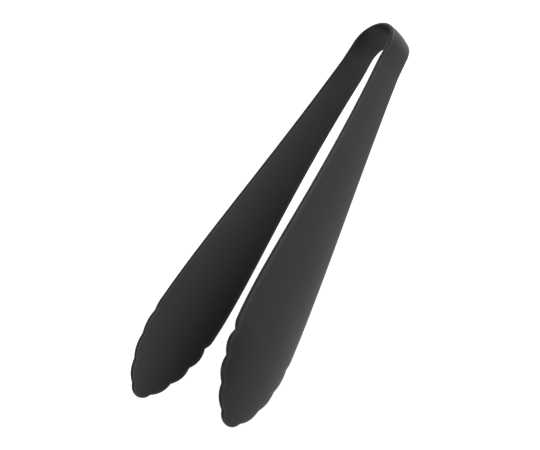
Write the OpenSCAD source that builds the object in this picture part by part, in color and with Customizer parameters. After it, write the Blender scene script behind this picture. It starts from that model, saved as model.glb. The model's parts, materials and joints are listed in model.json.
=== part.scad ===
// Sprung kitchen tongs, made from one strip: a round bow, two flaring arms and two dished blades
// whose edges are scalloped for grip.
//
// The tongs lie on their side. Y runs from the tips to the bow, X is the way they open and Z is the
// width of the strip. The origin is the centre of the bow's eye. The right arm, towards +X, is
// drawn, and the left arm is its mirror image. A place on an arm is given by its distance along the
// strip from the end of the bow.

/* [Bow] */
// Outer radius of the bow, at the middle of the strip
bow_r = 15.1; // [13:0.1:18]
// Radius of the bow's eye, which hangs on a rail
eye_r = 12.1; // [9:0.1:12.4]
// Width of the strip round the bow
bow_w = 17; // [14:0.5:22]
// How far short of a full half turn each end of the bow stops, in degrees
bow_end_angle = 2.5; // [0:0.5:8]

/* [Arms] */
// Length of each arm from the bow to the tip, along the strip
arm_l = 228; // [200:1:260]
// Length of the near-parallel stretch below the bow
parallel_l = 10.5; // [4:0.5:20]
// Length of the bend that flares the arm outwards
flare_l = 3.5; // [3:0.5:15]
// Angle of the flared arm from the middle plane, in degrees
arm_angle = 7.7; // [5:0.1:10]
// Length of the tip end that curls back inwards
curl_l = 50; // [30:1:70]
// Turn of that curl, in degrees
curl_angle = 15.7; // [0:0.1:20]
// Length from the bow to the joint line between handle and blade
handle_l = 112; // [90:1:130]

/* [Section] */
// Radius of the dish across the strip
dish_r = 42; // [36:1:80]
// Thickness of the blades and of the handle away from the bow
blade_t = 2; // [1.2:0.1:2.8]
// Length over which the solid end of the bow turns into the thin dished strip
thin_out_l = 45; // [20:1:80]

/* [Blade outline] */
// Greatest width of a blade
blade_w = 43.2; // [36:0.2:52]
// Distance of that widest place from the tip
widest_from_tip = 47.5; // [44:0.5:60]
// How strongly the outline keeps to the handle's slight taper
handle_pull = 89; // [60:1:110]
// Rise of the half width at the end of that pull
handle_rise = 2.85; // [1:0.05:6]
// How strongly the outline rounds over at the widest place
blade_pull = 42; // [20:1:60]
// How far the scallops bulge beyond the line between their notches
scallop_bulge = 1.6; // [0.5:0.1:3]

/* [Hidden] */
charcoal = [0.22, 0.22, 0.215];

// Notch corners: distance from the tip and half width, from the widest end to the tip
NOTCHES = [[42, 20.2], [28.2, 18.5], [15.4, 14.1], [4.5, 6.7]];

// Grid that the strip is drawn on
across = 8;
taper_steps = 20;
shoulder_steps = 3;
scallop_steps = 5;
tip_steps = 5;
tip_blunt_angle = 10;

// The arm's bends: length of each stretch and its outward turn in degrees for each millimetre
BENDS = [
    [parallel_l, 0],
    [flare_l, (arm_angle - bow_end_angle) / flare_l],
    [arm_l - parallel_l - flare_l - curl_l, 0],
    [curl_l, -curl_angle / curl_l],
];
arm_start = bow_r * [cos(bow_end_angle), sin(bow_end_angle)];

// Control points of the smooth outline, as distance from the bow and half width
widest_at = arm_l - widest_from_tip;
TAPER = [
    [0, bow_w / 2],
    [handle_pull, bow_w / 2 + handle_rise],
    [widest_at - blade_pull, blade_w / 2],
    [widest_at, blade_w / 2],
];

function smooth(t) = let(u = max(0, min(1, t))) u * u * (3 - 2 * u);

// Move along a run that starts at heading h and turns at a steady rate
function run(h, rate, d) =
    rate == 0
        ? d * [sin(h), -cos(h)]
        : [cos(h) - cos(h + rate * d), sin(h) - sin(h + rate * d)] * 180 / (PI * rate);

// Point and heading of the strip's outer middle line, at distance d from the bow
function spine(d, i = 0, p = arm_start, h = bow_end_angle) =
    let(l = BENDS[i][0], rate = BENDS[i][1])
    i == len(BENDS) - 1 || d <= l
        ? [p + run(h, rate, d), h + rate * d]
        : spine(d - l, i + 1, p + run(h, rate, l), h + rate * l);

// How far the outer face has curved away at height z
function dish(z) = dish_r - sqrt(dish_r * dish_r - z * z);

// Point of the section at distance d and height z, at a depth below the outer middle line
function section_point(d, z, depth) =
    let(s = spine(d))
    [s[0][0] - depth * cos(s[1]), s[0][1] - depth * sin(s[1]), z];

function outer_point(d, z) = section_point(d, z, dish(z));

// The inner face is flat across the bow's end and follows the dish once the strip has thinned out
function inner_point(d, z) =
    let(thinned = smooth(d / thin_out_l))
    let(wall = (1 - thinned) * (bow_r - eye_r) + thinned * blade_t)
    section_point(d, z, wall + thinned * dish(z));

function bezier(p, t) =
    pow(1 - t, 3) * p[0] + 3 * pow(1 - t, 2) * t * p[1] + 3 * (1 - t) * t * t * p[2] + pow(t, 3) * p[3];

// The part of the smooth outline between two distances from the bow
function taper(from, to) =
    let(all = [for (i = [0:taper_steps]) bezier(TAPER, i / taper_steps)])
    [for (p = all) if (p[0] >= from && p[0] <= to) p];

function notch(i) = [arm_l - NOTCHES[i][0], NOTCHES[i][1]];

// Rounded shoulder from the widest place to the first notch
function shoulder() =
    let(run_in = notch(0)[0] - widest_at, drop = blade_w / 2 - notch(0)[1])
    let(r = (run_in * run_in + drop * drop) / (2 * drop), sweep = asin(run_in / r))
    [for (i = [1:shoulder_steps])
        let(a = sweep * i / shoulder_steps)
        [widest_at + r * sin(a), blade_w / 2 - r + r * cos(a)]];

// Arc from one notch to the next, bulging outwards
function scallop(a, b) =
    let(chord = norm(b - a), along = (b - a) / chord, out = [-along[1], along[0]])
    let(r = (chord * chord / 4 + scallop_bulge * scallop_bulge) / (2 * scallop_bulge))
    let(sweep = asin(chord / 2 / r), centre = (a + b) / 2 - out * (r - scallop_bulge))
    [for (i = [1:scallop_steps])
        let(t = sweep * (2 * i / scallop_steps - 1))
        centre + r * (cos(t) * out + sin(t) * along)];

// Round tip from the last notch, stopped just short of the middle line
function tip() =
    let(last = NOTCHES[len(NOTCHES) - 1])
    let(r = (last[1] * last[1] + last[0] * last[0]) / (2 * last[0]), start = asin(last[1] / r))
    [for (i = [1:tip_steps])
        let(a = start + (tip_blunt_angle - start) * i / tip_steps)
        [arm_l - r + r * cos(a), r * sin(a)]];

function at(d) =
    let(steps = 400, near = [for (i = [0:steps]) let(p = bezier(TAPER, i / steps)) if (p[0] >= d) p])
    [d, near[0][1]];

function handle_outline() = concat(taper(0, handle_l - 2), [at(handle_l)]);

function blade_outline() =
    concat(
        [at(handle_l)],
        taper(handle_l + 2, widest_at),
        shoulder(),
        [for (i = [0:len(NOTCHES) - 2]) each scallop(notch(i), notch(i + 1))],
        tip()
    );

// A stretch of the right arm: rings of points joined by triangles and closed at both ends
module strip(outline) {
    ring = 2 * (across + 1);
    ends = len(outline) - 1;
    points = [
        for (p = outline) each concat(
            [for (j = [0:across]) outer_point(p[0], p[1] * (2 * j / across - 1))],
            [for (j = [across:-1:0]) inner_point(p[0], p[1] * (2 * j / across - 1))]
        )
    ];
    sides = [
        for (i = [0:ends - 1], j = [0:ring - 1])
            let(a = i * ring + j, b = i * ring + (j + 1) % ring)
            each [[a, a + ring, b + ring], [a, b + ring, b]]
    ];
    start_cap = [for (j = [0:across - 1]) [j, j + 1, ring - 2 - j, ring - 1 - j]];
    end_cap = [for (q = start_cap) [for (k = [3:-1:0]) q[k] + ends * ring]];
    polyhedron(points, concat(sides, start_cap, end_cap), convexity = 6);
}

// The bow's section: a true cylinder inside and a crowned face outside
module bow_section() {
    intersection() {
        translate([bow_r - dish_r, 0]) circle(r = dish_r, $fn = 240);
        translate([eye_r, -bow_w / 2]) square([bow_r, bow_w]);
    }
}

module spring_bow() {
    color(charcoal)
        rotate([0, 0, bow_end_angle])
            rotate_extrude(angle = 180 - 2 * bow_end_angle, $fn = 144) bow_section();
}

module right_handle() {
    color(charcoal) strip(handle_outline());
}

module left_handle() {
    color(charcoal) mirror([1, 0, 0]) strip(handle_outline());
}

module right_blade() {
    color(charcoal) strip(blade_outline());
}

module left_blade() {
    color(charcoal) mirror([1, 0, 0]) strip(blade_outline());
}

spring_bow();
right_handle();
left_handle();
right_blade();
left_blade();
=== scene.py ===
"""Looks of the sprung kitchen tongs.

Each CAD node gets a skin that follows the same design, drawn finely, with rounded edges and
filleted notches. Sizes are in millimetres until a mesh is made. The CAD model's frame is used
throughout: X is the way the tongs open, Y runs to the bow and Z is the width of the strip.
"""
import json
import math

import bmesh
import bpy
import numpy as np
from mathutils import Matrix, Vector


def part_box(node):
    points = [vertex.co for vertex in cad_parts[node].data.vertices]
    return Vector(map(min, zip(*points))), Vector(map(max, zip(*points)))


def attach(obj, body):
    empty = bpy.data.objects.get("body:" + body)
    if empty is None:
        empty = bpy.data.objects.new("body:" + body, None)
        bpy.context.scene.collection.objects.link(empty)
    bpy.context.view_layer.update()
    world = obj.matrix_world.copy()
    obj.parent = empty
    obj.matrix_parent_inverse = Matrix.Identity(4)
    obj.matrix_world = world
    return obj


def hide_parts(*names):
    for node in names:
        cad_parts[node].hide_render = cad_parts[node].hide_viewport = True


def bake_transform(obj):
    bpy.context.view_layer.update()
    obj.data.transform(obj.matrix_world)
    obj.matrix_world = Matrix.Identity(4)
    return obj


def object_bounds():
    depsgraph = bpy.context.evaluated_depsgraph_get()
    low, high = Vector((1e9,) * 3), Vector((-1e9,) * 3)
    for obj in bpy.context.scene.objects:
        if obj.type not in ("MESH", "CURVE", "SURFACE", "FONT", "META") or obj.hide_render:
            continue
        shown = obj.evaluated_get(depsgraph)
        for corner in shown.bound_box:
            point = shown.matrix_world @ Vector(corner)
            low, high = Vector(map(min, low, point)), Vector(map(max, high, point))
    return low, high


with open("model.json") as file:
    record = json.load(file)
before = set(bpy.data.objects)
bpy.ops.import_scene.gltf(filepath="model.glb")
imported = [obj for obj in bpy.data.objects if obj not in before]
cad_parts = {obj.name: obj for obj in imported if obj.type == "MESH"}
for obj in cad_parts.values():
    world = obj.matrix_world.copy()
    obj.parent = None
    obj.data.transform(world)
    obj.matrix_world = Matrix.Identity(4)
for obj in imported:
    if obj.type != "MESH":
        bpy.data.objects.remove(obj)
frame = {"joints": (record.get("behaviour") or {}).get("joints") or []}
cad_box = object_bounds()

MM = 0.001

# ---------------------------------------------------------------- design of the strip

# What the frame states: the hinge lies on the eye's wall, at the end of the bow
hinge = next(j for j in frame["joints"] if j["child"] == "right_arm")["pos_m"]
EYE_R = math.hypot(hinge[0], hinge[1]) / MM
BOW_END = math.atan2(hinge[1], hinge[0])
BOW_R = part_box("spring_bow")[1].y / MM
BOW_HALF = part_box("spring_bow")[1].z / MM
BLADE_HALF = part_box("right_blade")[1].z / MM

# Distances along an arm from the end of the bow
ARM_L = 228.0
HANDLE_L = 112.0
PARALLEL_L = 10.5
FLARE_L = 3.5
CURL_L = 50.0
WIDEST_AT = ARM_L - 47.5
THIN_OUT_L = 45.0

ARM_ANGLE = math.radians(7.7)
CURL_ANGLE = math.radians(15.7)
DISH_R = 42.0
BLADE_T = 2.0

# Smooth outline: pulls of the curve from the bow to the widest place
HANDLE_PULL = 89.0
HANDLE_RISE = 2.85
BLADE_PULL = 42.0

# Notch corners as distance from the tip and half width, and the scallops between them
NOTCHES = [(42.0, 20.2), (28.2, 18.5), (15.4, 14.1), (4.5, 6.7)]
SCALLOP_BULGE = 1.6
NOTCH_FILLET = 1.7

# Rounded edge of the strip: how far it reaches, how square it is, and how rubbed it is at the bow,
# which also sets how much painted light lightens its rim there
EDGE_REACH = 0.6
EDGE_SQUARENESS = 2 / 3
BOW_WEAR_AND_LIGHT = 0.45

# Fineness of the skins
ACROSS = 28
EDGE_STEPS = 8
CURVE_POINTS = 2001
TAPER_STEP = 2.0
SCALLOP_STEP = 0.5
FILLET_STEP = 0.25
BOW_ROWS = 90

# A narrow first and last row keeps the shading even where two skins meet
BORDER = 0.02

# The arm's bends: length of each stretch and its outward turn for each millimetre
BENDS = [
    (PARALLEL_L, 0.0),
    (FLARE_L, (ARM_ANGLE - BOW_END) / FLARE_L),
    (ARM_L - PARALLEL_L - FLARE_L - CURL_L, 0.0),
    (CURL_L, -CURL_ANGLE / CURL_L),
]


def smooth(t):
    """An even rise from 0 to 1 as t goes from 0 to 1."""
    u = np.clip(t, 0, 1)
    return u * u * (3 - 2 * u)


def spine(d):
    """Points and headings of the strip's outer middle line at distances d from the bow."""
    heading = np.full(len(d), BOW_END)
    point = BOW_R * np.stack([np.cos(heading), np.sin(heading)], -1)
    left = np.array(d, float)
    for i, (length, rate) in enumerate(BENDS):
        go = left if i == len(BENDS) - 1 else np.minimum(left, length)
        turned = heading + rate * go
        if rate:
            swing = [np.cos(heading) - np.cos(turned), np.sin(heading) - np.sin(turned)]
            step = np.stack(swing, -1) / rate
        else:
            step = go[:, None] * np.stack([np.sin(heading), -np.cos(heading)], -1)
        point, heading, left = point + step, turned, left - go
    return point, heading


def dish(z):
    """How far the outer face has curved away at height z."""
    return DISH_R - np.sqrt(DISH_R**2 - z**2)


class ArmLine:
    """The strip along an arm, where d is the distance from the end of the bow."""

    def wear_and_light(self, d):
        """How rubbed the edges are, and so how much painted light lightens their rims. They are
        touched more towards the tips.
        """
        return BOW_WEAR_AND_LIGHT + (1 - BOW_WEAR_AND_LIGHT) * smooth(d / HANDLE_L)

    def at(self, d, z):
        """Points on the outer and the inner face, and the outward and the onward direction."""
        point, heading = spine(d)
        out = np.stack([np.cos(heading), np.sin(heading), 0 * d], -1)
        along = np.stack([np.sin(heading), -np.cos(heading), 0 * d], -1)
        middle = np.concatenate([point, z[:, None]], 1)
        thinned = smooth(d / THIN_OUT_L)
        wall = (1 - thinned) * (BOW_R - EYE_R) + thinned * BLADE_T
        outer = middle - out * dish(z)[:, None]
        inner = middle - out * (wall + thinned * dish(z))[:, None]
        return outer, inner, out, along


class BowLine:
    """The strip round the bow, where d is the angle from its left end."""

    def wear_and_light(self, d):
        """How rubbed the edges are, and so how much painted light lightens their rims, which is
        the same all round the bow.
        """
        return BOW_WEAR_AND_LIGHT

    def at(self, d, z):
        """Points on the outer and the inner face, and the outward and the onward direction."""
        angle = math.pi - BOW_END - d
        out = np.stack([np.cos(angle), np.sin(angle), 0 * d], -1)
        along = np.stack([np.sin(angle), -np.cos(angle), 0 * d], -1)
        height = z[:, None] * np.array([0, 0, 1.0])
        outer = height + out * (BOW_R - dish(z))[:, None]
        inner = height + out * EYE_R
        return outer, inner, out, along


# ---------------------------------------------------------------- outlines

# An outline is an array of rows. Each row holds a place along the line, the half width there and
# the two components of the edge's normal: onwards along the line, and outwards across it.


def bezier(p, t):
    """Points of the cubic curve with control points p."""
    p, t = np.array(p, float), t[:, None]
    weights = [(1 - t) ** 3, 3 * (1 - t) ** 2 * t, 3 * (1 - t) * t**2, t**3]
    return sum(weight * point for weight, point in zip(weights, p))


def straight_rows(d, w):
    """Outline rows whose edge is taken to run straight along the line."""
    return np.stack([d, w, 0 * d, 0 * d + 1], -1)


def bow_rows():
    """Outline rows round the bow."""
    span = math.pi - 2 * BOW_END
    border = BORDER / BOW_R
    d = np.concatenate([[0], np.linspace(border, span - border, BOW_ROWS), [span]])
    return straight_rows(d, 0 * d + BOW_HALF)


def taper(start, end):
    """Outline rows of the smooth part of an arm, between two distances from the bow."""
    pulls = [
        (0, BOW_HALF),
        (HANDLE_PULL, BOW_HALF + HANDLE_RISE),
        (WIDEST_AT - BLADE_PULL, BLADE_HALF),
        (WIDEST_AT, BLADE_HALF),
    ]
    curve = bezier(pulls, np.linspace(0, 1, CURVE_POINTS))
    inner_rows = np.linspace(start + BORDER, end - BORDER, round((end - start) / TAPER_STEP))
    d = np.concatenate([[start], inner_rows, [end]])
    return straight_rows(d, np.interp(d, curve[:, 0], curve[:, 1]))


def polar(vector):
    """Angle of a vector in the outline's plane, from the outward direction towards the tip."""
    return math.atan2(vector[0], vector[1])


def arc(centre, r, start, end, step, facing=1):
    """Outline rows along an arc, without its first point. facing is -1 where the arc is hollow."""
    count = max(2, math.ceil(abs(end - start) * r / step))
    a = np.linspace(start, end, count + 1)[1:]
    ray = np.stack([np.sin(a), np.cos(a)], -1)
    return np.concatenate([centre + r * ray, facing * ray], 1)


def bulging_arc(a, b, bulge):
    """Centre and radius of the arc through a and b that bulges outwards."""
    chord = b - a
    length = np.linalg.norm(chord)
    r = (length**2 / 4 + bulge**2) / (2 * bulge)
    out = np.array([-chord[1], chord[0]]) / length
    return (a + b) / 2 - out * (r - bulge), r


def fillet_centre(c1, r1, c2, r2):
    """Centre of a circle of radius NOTCH_FILLET that touches two circles from outside."""
    a, b = r1 + NOTCH_FILLET, r2 + NOTCH_FILLET
    gap = c2 - c1
    length = np.linalg.norm(gap)
    along = (a * a - b * b + length**2) / (2 * length)
    up = math.sqrt(a * a - along**2)
    unit = gap / length
    return c1 + unit * along + np.array([-unit[1], unit[0]]) * up


def end_arcs():
    """Centre and radius of the shoulder, of each scallop and of the tip, in that order."""
    corners = [np.array([ARM_L - back, half]) for back, half in NOTCHES]
    run_in, drop = corners[0][0] - WIDEST_AT, BLADE_HALF - corners[0][1]
    shoulder_r = (run_in**2 + drop**2) / (2 * drop)
    shoulder = (np.array([WIDEST_AT, BLADE_HALF - shoulder_r]), shoulder_r)
    scallops = [bulging_arc(a, b, SCALLOP_BULGE) for a, b in zip(corners, corners[1:])]
    tip_back, tip_half = NOTCHES[-1]
    tip_r = (tip_half**2 + tip_back**2) / (2 * tip_back)
    tip = (np.array([ARM_L - tip_r, 0.0]), tip_r)
    return [shoulder, *scallops, tip]


def scalloped_end():
    """Outline rows from the widest place, round the scallops and notches, to the tip."""
    arcs = end_arcs()
    rows, start = [], 0.0
    for (c1, r1), (c2, r2) in zip(arcs, arcs[1:]):
        f = fillet_centre(c1, r1, c2, r2)
        rows.append(arc(c1, r1, start, polar(f - c1), SCALLOP_STEP))
        turn_in, turn_out = polar(c1 - f), polar(c2 - f)
        if turn_out > turn_in:
            turn_out -= 2 * math.pi
        rows.append(arc(f, NOTCH_FILLET, turn_in, turn_out, FILLET_STEP, facing=-1))
        start = polar(f - c2)
    c, r = arcs[-1]
    rows.append(arc(c, r, start, math.pi / 2, SCALLOP_STEP))
    return np.concatenate(rows)


# ---------------------------------------------------------------- skins


def flipped(faces):
    """The same faces, looking the other way."""
    return [face[::-1] for face in faces]


def between(a, b):
    """Faces between two rows of points, of which the second may be a single point."""
    if len(b) == 1:
        return [[a[j], b[0], a[j + 1]] for j in range(len(a) - 1)]
    return [[a[j], b[j], b[j + 1], a[j + 1]] for j in range(len(a) - 1)]


class Skin:
    """Points and faces of a closed skin over a stretch of strip, from its outline.

    It ends in a tip if the outline's last half width is 0.
    """

    def __init__(self, line, outline):
        self.line, self.outline = line, outline
        self.last = len(outline) - 1
        self.has_tip = outline[-1, 1] < 1e-6
        # The faces stop short of the outline, and the rounded edge takes them out to it
        self.d = outline[:, 0] - EDGE_REACH * outline[:, 2]
        self.w = outline[:, 1] - EDGE_REACH * outline[:, 3]
        if self.has_tip:
            self.w[-1] = 0
        self.verts, self.rim_wear_and_light = [], []
        self.faces, self.caps = [], []
        self.outer, self.inner = [], []
        self.add_sheets()
        self.add_edge()
        self.add_cap(0, facing_back=True)
        if not self.has_tip:
            self.add_cap(self.last, facing_back=False)

    def add(self, points, share):
        """Add points, with how rubbed they are and how much painted rim light they get, and give
        their numbers.
        """
        first = len(self.verts)
        self.verts.extend(points)
        self.rim_wear_and_light.extend(np.broadcast_to(share, len(points)))
        return list(range(first, len(self.verts)))

    def add_sheets(self):
        """The outer and the inner face, with a row of points for every outline row."""
        for k, (d, w) in enumerate(zip(self.d, self.w)):
            z = w * np.linspace(-1, 1, ACROSS + 1)
            if self.has_tip and k == self.last:
                z = z[:1]
            outer, inner, _, _ = self.line.at(np.full(len(z), d), z)
            # Rubbed, and lightened by painted rim light, fading from the edge inwards
            rubbed_and_lit = self.line.wear_and_light(d) * np.exp(-(w - np.abs(z)) / EDGE_REACH)
            self.outer.append(self.add(outer, rubbed_and_lit))
            self.inner.append(self.add(inner, rubbed_and_lit))
        for a, b in zip(self.outer, self.outer[1:]):
            self.faces += flipped(between(a, b))
        for a, b in zip(self.inner, self.inner[1:]):
            self.faces += between(a, b)

    def edge_ring(self, k, side):
        """Points round the rounded edge at row k, from the outer face to the inner one."""
        z = np.array([side * self.w[k]])
        outer, inner, out, along = self.line.at(self.d[k : k + 1], z)
        slope = z / np.sqrt(DISH_R**2 - z**2)
        across = side * np.array([0, 0, 1.0]) - side * out[0] * slope[0]
        onward, outward = self.outline[k, 2:]
        reach = onward * along[0] + outward * across / np.linalg.norm(across)
        middle, half = (outer[0] + inner[0]) / 2, (outer[0] - inner[0]) / 2
        phi = np.linspace(math.pi / 2, -math.pi / 2, EDGE_STEPS + 1)[1:-1]
        rise = np.sign(np.sin(phi)) * np.abs(np.sin(phi)) ** EDGE_SQUARENESS
        push = np.cos(phi) ** EDGE_SQUARENESS
        points = middle + rise[:, None] * half + push[:, None] * EDGE_REACH * reach
        ring = self.add(points, self.line.wear_and_light(self.d[k]))
        border = -1 if side > 0 else 0
        return [self.outer[k][border], *ring, self.inner[k][border]]

    def add_edge(self):
        """The rounded edge: along one side, round the tip if there is one, and back."""
        count = self.last if self.has_tip else self.last + 1
        self.upper = [self.edge_ring(k, 1) for k in range(count)]
        self.lower = [self.edge_ring(k, -1) for k in range(count)]
        if self.has_tip:
            runs = [self.upper + [self.edge_ring(self.last, 1)] + self.lower[::-1]]
        else:
            runs = [self.upper, self.lower[::-1]]
        for rings in runs:
            for a, b in zip(rings, rings[1:]):
                self.faces += [[a[i], a[i + 1], b[i + 1], b[i]] for i in range(EDGE_STEPS)]

    def add_cap(self, k, facing_back):
        """The flat end at row k."""
        o, n = self.outer[k], self.inner[k]
        cap = [[o[j], o[j + 1], n[j + 1], n[j]] for j in range(ACROSS)]
        cap += [self.upper[k], self.lower[k][::-1]]
        self.caps += flipped(cap) if facing_back else cap


def make_skin(name, line, outline, mirrored=False):
    """The skin's object, in metres. Its flat ends are sharp and the rest is shaded smooth."""
    skin = Skin(line, outline)
    co = np.array(skin.verts) * MM
    faces, caps = skin.faces, skin.caps
    if mirrored:
        co[:, 0] *= -1
        faces, caps = flipped(faces), flipped(caps)
    mesh = bpy.data.meshes.new(name)
    mesh.from_pydata(co.tolist(), [], faces + caps)
    smooth_face = [True] * len(faces) + [False] * len(caps)
    mesh.polygons.foreach_set("use_smooth", smooth_face)
    on_cap = {tuple(sorted(pair)) for f in caps for pair in zip(f, f[1:] + f[:1])}
    sharp = [tuple(sorted(e.vertices)) in on_cap for e in mesh.edges]
    mesh.edges.foreach_set("use_edge_sharp", sharp)
    share = mesh.attributes.new("rim_wear_and_light", "FLOAT", "POINT")
    share.data.foreach_set("value", skin.rim_wear_and_light)
    mesh.validate()
    obj = bpy.data.objects.new(name, mesh)
    bpy.context.scene.collection.objects.link(obj)
    return obj


# ---------------------------------------------------------------- materials

# Tones are linear colours, noise scales count cells in a metre, and depths are in metres
DARK_TONE = (0.0108, 0.0108, 0.0102, 1)
LIGHT_TONE = (0.0140, 0.0140, 0.0132, 1)
# The rubbed tone is partly edge wear and partly painted light: it lightens the rims as light
# falling on them would
RUBBED_AND_LIT_TONE = (0.065, 0.065, 0.0615, 1)
DULL_ROUGHNESS, SLEEK_ROUGHNESS = 0.49, 0.43
EDGE_POLISH = 0.10
FLOW_SCALE, SCUFF_SCALE, GRAIN_SCALE, RIPPLE_SCALE = 45.0, 900.0, 3200.0, 60.0
GRAIN_DEPTH, RIPPLE_DEPTH = 0.00004, 0.0002


def feed(tree, socket, value):
    """Link a socket to another one, or set it to a constant."""
    if isinstance(value, bpy.types.NodeSocket):
        tree.links.new(value, socket)
    else:
        socket.default_value = value


def add_node(tree, kind, **inputs):
    """A node with some of its inputs fed by name."""
    made = tree.nodes.new(kind)
    for key, value in inputs.items():
        feed(tree, made.inputs[key.replace("_", " ")], value)
    return made


def noise(tree, place, **settings):
    return add_node(tree, "ShaderNodeTexNoise", Vector=place, **settings).outputs["Fac"]


def bump(tree, **settings):
    return add_node(tree, "ShaderNodeBump", **settings).outputs["Normal"]


def remapped(tree, value, low, high):
    """A value from 0 to 1, stretched to run from low to high."""
    made = add_node(tree, "ShaderNodeMapRange", Value=value, To_Min=low, To_Max=high)
    return made.outputs["Result"]


def mixed_color(tree, factor, a, b):
    made = tree.nodes.new("ShaderNodeMix")
    made.data_type = "RGBA"
    for name, value in (("Factor", factor), ("A", a), ("B", b)):
        feed(tree, made.inputs[name], value)
    return made.outputs["Result"]


def calculated(tree, operation, *values):
    made = tree.nodes.new("ShaderNodeMath")
    made.operation = operation
    for socket, value in zip(made.inputs, values):
        feed(tree, socket, value)
    return made.outputs[0]


def black_nylon():
    """Matte charcoal nylon: a fine spark-eroded grain, faint flow marks, and rubbed edges whose
    lighter tone is partly painted light on the rims.
    """
    material = bpy.data.materials.new("black_nylon")
    material.use_nodes = True
    tree = material.node_tree
    shader = tree.nodes["Principled BSDF"]
    shader.inputs["IOR"].default_value = 1.5
    shader.inputs["Specular IOR Level"].default_value = 0.265
    place = tree.nodes.new("ShaderNodeTexCoord").outputs["Object"]
    edge = tree.nodes.new("ShaderNodeAttribute")
    edge.attribute_name = "rim_wear_and_light"
    near_edge = edge.outputs["Fac"]

    flow = noise(tree, place, Scale=FLOW_SCALE, Detail=3.0, Roughness=0.5)
    tone = mixed_color(tree, flow, DARK_TONE, LIGHT_TONE)
    scuff = noise(tree, place, Scale=SCUFF_SCALE, Detail=4.0, Roughness=0.6)
    # Painted light: the rims get the lighter rubbed tone, standing in for light falling on them as
    # well as for wear
    rubbed_and_lit = calculated(tree, "MULTIPLY", scuff, near_edge)
    feed(tree, shader.inputs["Base Color"], mixed_color(tree, rubbed_and_lit, tone, RUBBED_AND_LIT_TONE))

    matte = remapped(tree, flow, DULL_ROUGHNESS, SLEEK_ROUGHNESS)
    polished = calculated(tree, "MULTIPLY_ADD", near_edge, -EDGE_POLISH, matte)
    feed(tree, shader.inputs["Roughness"], polished)

    grain = noise(tree, place, Scale=GRAIN_SCALE, Detail=2.0, Roughness=0.6)
    fine = bump(tree, Height=grain, Strength=0.25, Distance=GRAIN_DEPTH)
    ripple = noise(tree, place, Scale=RIPPLE_SCALE, Detail=1.0, Roughness=0.4)
    broad = bump(tree, Height=ripple, Strength=0.2, Distance=RIPPLE_DEPTH, Normal=fine)
    feed(tree, shader.inputs["Normal"], broad)
    return material


# ---------------------------------------------------------------- the tongs


nylon = black_nylon()
arm, bow = ArmLine(), BowLine()
handle_rows = taper(0, HANDLE_L)
blade_rows = np.concatenate([taper(HANDLE_L, WIDEST_AT), scalloped_end()])

bow_skin = make_skin("spring_bow_skin", bow, bow_rows())
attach(bow_skin, "bow")
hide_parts("spring_bow")
skins = [bow_skin]
for side, flip in (("right", 1), ("left", -1)):
    handle = make_skin(f"{side}_handle_skin", arm, handle_rows, mirrored=flip < 0)
    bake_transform(handle)
    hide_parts(f"{side}_handle")
    blade = make_skin(f"{side}_blade_skin", arm, blade_rows, mirrored=flip < 0)
    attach(blade, f"{side}_arm")
    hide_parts(f"{side}_blade")
    skins += [handle, blade]
for skin in skins:
    skin.data.materials.append(nylon)

# ---------------------------------------------------------------- floor and backdrop

FLOOR_SIZE = 8.0
FLOOR_GAP = 0.0002
FLOOR_WHITE, FLOOR_GLOW = 0.82, 0.88
BACKDROP_R = 6.0
BACKDROP_WHITE, BACKDROP_GLOW = 0.9, 1.0
WORLD_GLOW = 0.05


def soft_glow(name, white, strength):
    """Plain white that glows softly, as a light table does, so that no dark shadow falls on it."""
    material = bpy.data.materials.new(name)
    material.use_nodes = True
    shader = material.node_tree.nodes["Principled BSDF"]
    shader.inputs["Base Color"].default_value = (white, white, white, 1)
    shader.inputs["Roughness"].default_value = 0.7
    shader.inputs["Specular IOR Level"].default_value = 0.2
    shader.inputs["Emission Color"].default_value = (1, 1, 1, 1)
    shader.inputs["Emission Strength"].default_value = strength
    return material


def stage_piece(name, shape, material):
    """A piece of the set, from a bmesh that shape fills."""
    built = bmesh.new()
    shape(built)
    mesh = bpy.data.meshes.new(name)
    built.to_mesh(mesh)
    built.free()
    mesh.materials.append(material)
    obj = bpy.data.objects.new(name, mesh)
    bpy.context.scene.collection.objects.link(obj)
    return obj


def floor_sheet(built):
    bmesh.ops.create_grid(built, x_segments=8, y_segments=8, size=FLOOR_SIZE / 2)


def white_sphere(built):
    bmesh.ops.create_uvsphere(built, u_segments=48, v_segments=24, radius=BACKDROP_R)


def studio_world():
    world = bpy.data.worlds.new("studio")
    world.use_nodes = True
    background = world.node_tree.nodes["Background"]
    background.inputs["Color"].default_value = (1, 1, 1, 1)
    background.inputs["Strength"].default_value = WORLD_GLOW
    return world


floor = stage_piece("floor", floor_sheet, soft_glow("pale_floor", FLOOR_WHITE, FLOOR_GLOW))
floor.location.z = cad_box[0].z - FLOOR_GAP

# A white backdrop all round, which only the camera sees: it neither lights nor shades the tongs
backdrop_white = soft_glow("white_backdrop", BACKDROP_WHITE, BACKDROP_GLOW)
backdrop = stage_piece("backdrop", white_sphere, backdrop_white)
for ray in ("diffuse", "glossy", "transmission", "volume_scatter", "shadow"):
    setattr(backdrop, "visible_" + ray, False)

bpy.context.scene.world = studio_world()

# ---------------------------------------------------------------- lights

WARM_WHITE = (1.0, 0.995, 0.98)
centre = (cad_box[0] + cad_box[1]) / 2


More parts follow.
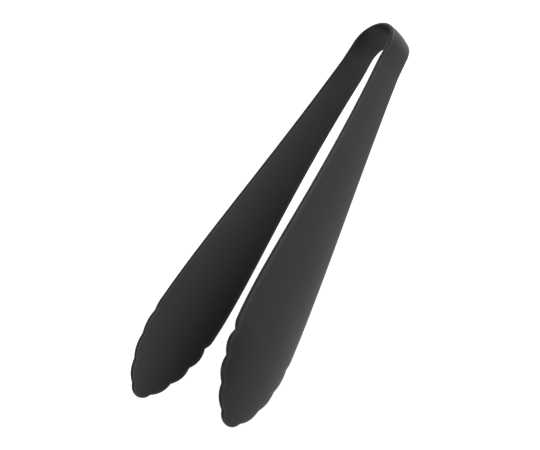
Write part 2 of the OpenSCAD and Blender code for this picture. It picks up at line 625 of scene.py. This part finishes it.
def toward(azimuth, elevation):
    a, e = math.radians(azimuth), math.radians(elevation)
    return Vector((math.sin(a) * math.cos(e), -math.cos(a) * math.cos(e), math.sin(e)))


def soft_light(name, azimuth, elevation, strength, spread=36):
    """A large far lamp. Its spread is how wide it looks from the tongs, in degrees."""
    light = bpy.data.lights.new(name, "SUN")
    light.energy = strength
    light.color = WARM_WHITE
    light.angle = math.radians(spread)
    obj = bpy.data.objects.new(name, light)
    back = toward(azimuth, elevation)
    obj.location = centre + back
    obj.rotation_mode = "QUATERNION"
    obj.rotation_quaternion = (-back).to_track_quat("-Z", "Y")
    bpy.context.scene.collection.objects.link(obj)


soft_light("far_low", azimuth=160, elevation=8, strength=3.6)
soft_light("front_low", azimuth=135, elevation=15, strength=0.4)
soft_light("bow_rim", azimuth=225, elevation=15, strength=0.7)
soft_light("edge_rim", azimuth=285, elevation=32, strength=0.4)
soft_light("notch_glint", azimuth=337, elevation=67, strength=0.4, spread=12)

# ---------------------------------------------------------------- camera

VIEW_AZIMUTH, VIEW_ELEVATION, VIEW_ROLL = 67.70, 35.83, -47.18
VIEW_DISTANCE = 0.6913
AIM = Vector((-0.00966, -0.11556, 0))

# Lens and sensor in millimetres, and the nearest and farthest thing seen in metres
LENS, SENSOR_WIDTH = 87.2, 36
NEAREST, FARTHEST = 0.05, 30


def viewing_camera():
    """The camera at the viewing angle, rolled about its line of sight."""
    camera = bpy.data.cameras.new("camera")
    camera.sensor_width = SENSOR_WIDTH
    camera.lens = LENS
    camera.clip_start, camera.clip_end = NEAREST, FARTHEST
    obj = bpy.data.objects.new("camera", camera)
    back = toward(VIEW_AZIMUTH, VIEW_ELEVATION)
    level = Vector((0, 0, 1)).cross(back).normalized()
    right = Matrix.Rotation(math.radians(VIEW_ROLL), 3, back) @ level
    turn = Matrix((right, back.cross(right), back)).transposed().to_4x4()
    obj.matrix_world = Matrix.Translation(AIM + VIEW_DISTANCE * back) @ turn
    bpy.context.scene.collection.objects.link(obj)
    return obj


bpy.context.scene.camera = viewing_camera()
bpy.context.scene.view_settings.view_transform = "Standard"
